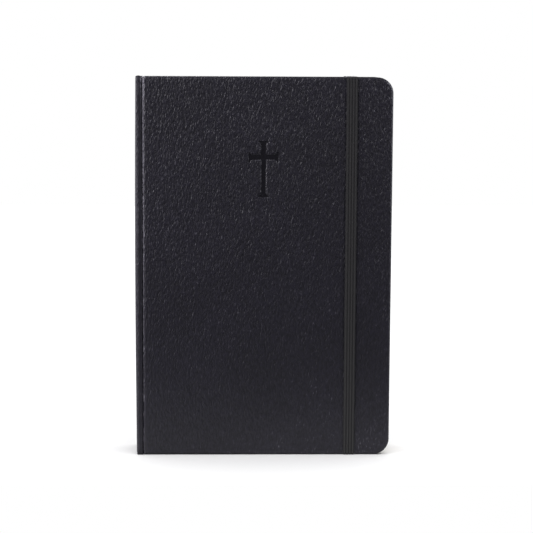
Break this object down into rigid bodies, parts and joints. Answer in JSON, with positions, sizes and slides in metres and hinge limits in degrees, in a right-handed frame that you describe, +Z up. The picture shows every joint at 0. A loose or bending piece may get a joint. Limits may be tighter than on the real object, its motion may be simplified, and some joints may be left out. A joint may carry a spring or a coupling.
{
  "type": "bible",
  "caption": "Bible in black leather covers with a pressed cross, rounded fore-edge corners, sewn sections, ribbon marker and an elastic band that holds it shut.",
  "frame": {"origin": "middle of the book's width and thickness, at the tail edge that it stands on", "axes": "+Z up, from the tail to the head; +X from the spine to the fore edge; the front cover faces -Y"},
  "size_m": [0.141, 0.0272, 0.2104],
  "materials": {
    "page_paper": "matte",
    "endpaper": "matte",
    "black_leather": "satin",
    "grey_board": "matte",
    "kraft_paper": "matte",
    "mull_cloth": "matte",
    "sewing_thread": "matte",
    "headband_cloth": "matte",
    "elastic_webbing": "matte",
    "satin_ribbon": "satin"
  },
  "bodies": {
    "rear_leaves": {"section_13": "page_paper", "section_14": "page_paper", "section_15": "page_paper", "section_16": "page_paper", "section_17": "page_paper", "section_18": "page_paper", "section_19": "page_paper", "section_20": "page_paper", "section_21": "page_paper", "section_22": "page_paper", "section_23": "page_paper", "section_24": "page_paper", "rear_flyleaf": "endpaper", "sewing_thread_rear": "sewing_thread", "mull_rear": "mull_cloth", "spine_lining_rear": "kraft_paper", "spine_card_rear": "grey_board", "spine_leather_rear": "black_leather", "headband_rear": "headband_cloth", "tailband_rear": "headband_cloth"},
    "front_leaves": {"section_01": "page_paper", "section_02": "page_paper", "section_03": "page_paper", "section_04": "page_paper", "section_05": "page_paper", "section_06": "page_paper", "section_07": "page_paper", "section_08": "page_paper", "section_09": "page_paper", "section_10": "page_paper", "section_11": "page_paper", "section_12": "page_paper", "front_flyleaf": "endpaper", "sewing_thread_front": "sewing_thread", "mull_front": "mull_cloth", "spine_lining_front": "kraft_paper", "spine_card_front": "grey_board", "spine_leather_front": "black_leather", "headband_front": "headband_cloth", "tailband_front": "headband_cloth"},
    "front_cover": {"front_board": "grey_board", "front_hinge_cloth": "mull_cloth", "front_infill": "kraft_paper", "front_pastedown": "endpaper", "front_cover_leather": "black_leather"},
    "back_cover": {"back_board": "grey_board", "back_hinge_cloth": "mull_cloth", "back_infill": "kraft_paper", "back_pastedown": "endpaper", "back_cover_leather": "black_leather", "elastic_end_head": "elastic_webbing", "elastic_end_tail": "elastic_webbing"},
    "elastic_loop": {"elastic_wraps": "elastic_webbing"},
    "elastic_front_run": {"elastic_front": "elastic_webbing"},
    "ribbon": {"ribbon_marker": "satin_ribbon"}
  },
  "joints": [
    {"name": "front_leaves_turn", "type": "hinge", "parent": "rear_leaves", "child": "front_leaves", "pos_m": [-0.07065, 0, 0.105], "axis": [0, 0, -1], "range_deg": [0, 179]},
    {"name": "front_cover_open", "type": "hinge", "parent": "front_leaves", "child": "front_cover", "pos_m": [-0.0669, -0.01315, 0.105], "axis": [0, 0, -1], "range_deg": [0, 175]},
    {"name": "back_cover_open", "type": "hinge", "parent": "rear_leaves", "child": "back_cover", "pos_m": [-0.0669, 0.01315, 0.105], "axis": [0, 0, -1], "range_deg": [-175, 0]},
    {"name": "elastic_pull", "type": "slide", "parent": "back_cover", "child": "elastic_loop", "axis": [1, 0, 0], "range_m": [0, 0.027], "stiffness_N_per_m": 60, "deforming": ["elastic_wraps", "elastic_front", "elastic_end_head", "elastic_end_tail"]},
    {"name": "elastic_settle", "type": "slide", "parent": "elastic_loop", "child": "elastic_front_run", "axis": [0, 1, 0], "range_m": [0, 0.0129]},
    {"name": "ribbon_swing", "type": "hinge", "parent": "rear_leaves", "child": "ribbon", "pos_m": [-0.0627, 0, 0.203], "axis": [0, -1, 0], "range_deg": [0, 40]}
  ],
  "couplings": [
    {"joint": "elastic_settle", "follows": "front_leaves_turn", "m_per_rad": 0.00409}
  ]
}
